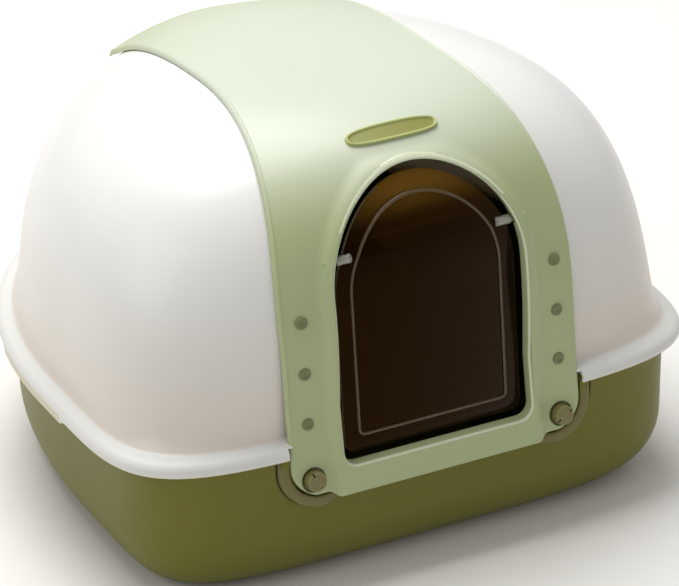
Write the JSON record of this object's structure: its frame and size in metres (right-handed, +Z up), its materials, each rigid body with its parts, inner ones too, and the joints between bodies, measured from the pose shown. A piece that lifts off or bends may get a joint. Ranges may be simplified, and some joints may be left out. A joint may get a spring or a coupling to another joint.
{
  "type": "hooded cat litter box",
  "caption": "Hooded cat litter box: an open tub, a domed hood with a green front cover over it, a swinging see-through door flap and quarter-turn locks at the cover's feet",
  "frame": {"origin": "on the floor, under the middle of the box", "axes": "+X right as seen from the front, -Y towards the door, +Z up"},
  "size_m": [0.525, 0.4852, 0.3545],
  "materials": {
    "tub_plastic": "satin moulded olive green",
    "hood_plastic": "glossy white",
    "cover_plastic": "satin moulded pale green",
    "plate_plastic": "satin yellow-green",
    "stud_plastic": "satin mid green",
    "flap_clear": "clear smoky brown",
    "pin_clear": "clear",
    "lock_plastic": "satin olive"
  },
  "bodies": {
    "tub": {"tub": "tub_plastic"},
    "hood": {"hood": "hood_plastic", "front_cover": "cover_plastic", "name_plate": "plate_plastic", "snap_studs": "stud_plastic", "hinge_bush_left": "pin_clear", "hinge_bush_right": "pin_clear"},
    "flap": {"door_flap": "flap_clear", "hinge_pin_left": "pin_clear", "hinge_pin_right": "pin_clear"},
    "lock_left": {"lock_knob_left": "lock_plastic", "lock_cam_left": "lock_plastic"},
    "lock_right": {"lock_knob_right": "lock_plastic", "lock_cam_right": "lock_plastic"}
  },
  "joints": [
    {"name": "hood_lift", "type": "slide", "parent": "tub", "child": "hood", "axis": [0, 0, 1], "range_m": [0, 0.16]},
    {"name": "flap_swing", "type": "hinge", "parent": "hood", "child": "flap", "pos_m": [0, -0.20547, 0.27], "axis": [1, 0, 0], "range_deg": [-70, 75]},
    {"name": "lock_left_turn", "type": "hinge", "parent": "hood", "child": "lock_left", "pos_m": [-0.1115, -0.235, 0.1], "axis": [0, -0.9823, 0.1874], "range_deg": [0, 90]},
    {"name": "lock_right_turn", "type": "hinge", "parent": "hood", "child": "lock_right", "pos_m": [0.1115, -0.235, 0.1], "axis": [0, -0.9823, 0.1874], "range_deg": [-90, 0]}
  ]
}
